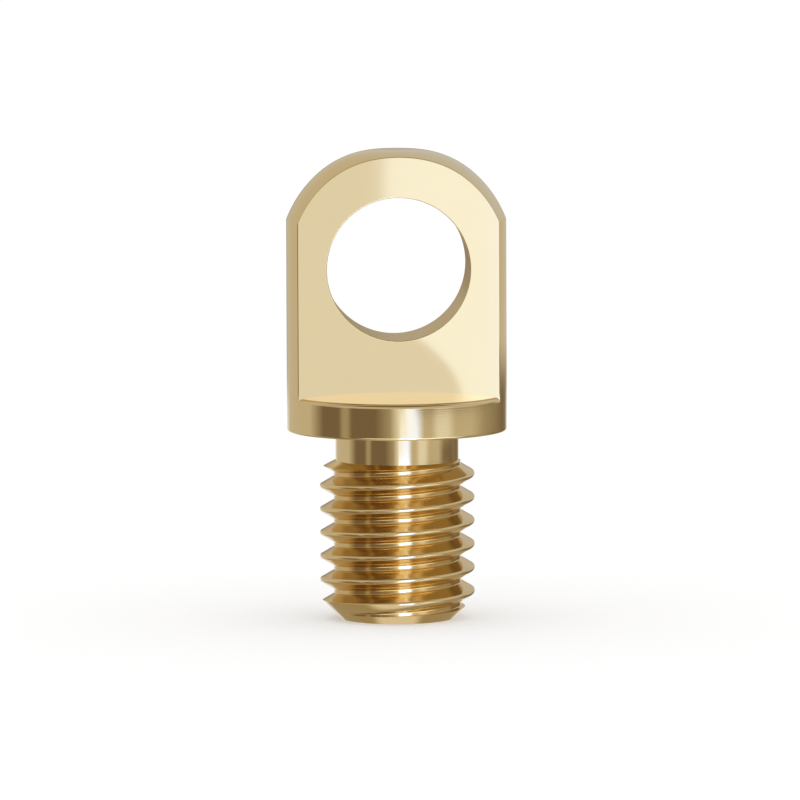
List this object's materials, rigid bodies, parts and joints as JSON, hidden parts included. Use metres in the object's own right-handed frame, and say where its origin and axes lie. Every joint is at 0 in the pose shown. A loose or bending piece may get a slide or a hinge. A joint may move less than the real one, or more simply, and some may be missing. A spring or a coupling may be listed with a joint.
{
  "type": "lifting eye bolt",
  "caption": "Short machined brass lifting eye bolt: a round bar head with two milled flats, a bored eye, a collar, and a relieved threaded stud.",
  "frame": {"origin": "on the stud's axis, at the collar's underside, where it seats on what it is screwed into", "axes": "+Z along the stud's axis, from the tip towards the eye; +Y along the eye's bore; +X across the eye's two narrow sides"},
  "size_m": [0.014, 0.014, 0.03],
  "materials": {
    "brass": "turned and milled, polished bright"
  },
  "bodies": {
    "root": {"eye_bolt": "brass"}
  },
  "joints": []
}
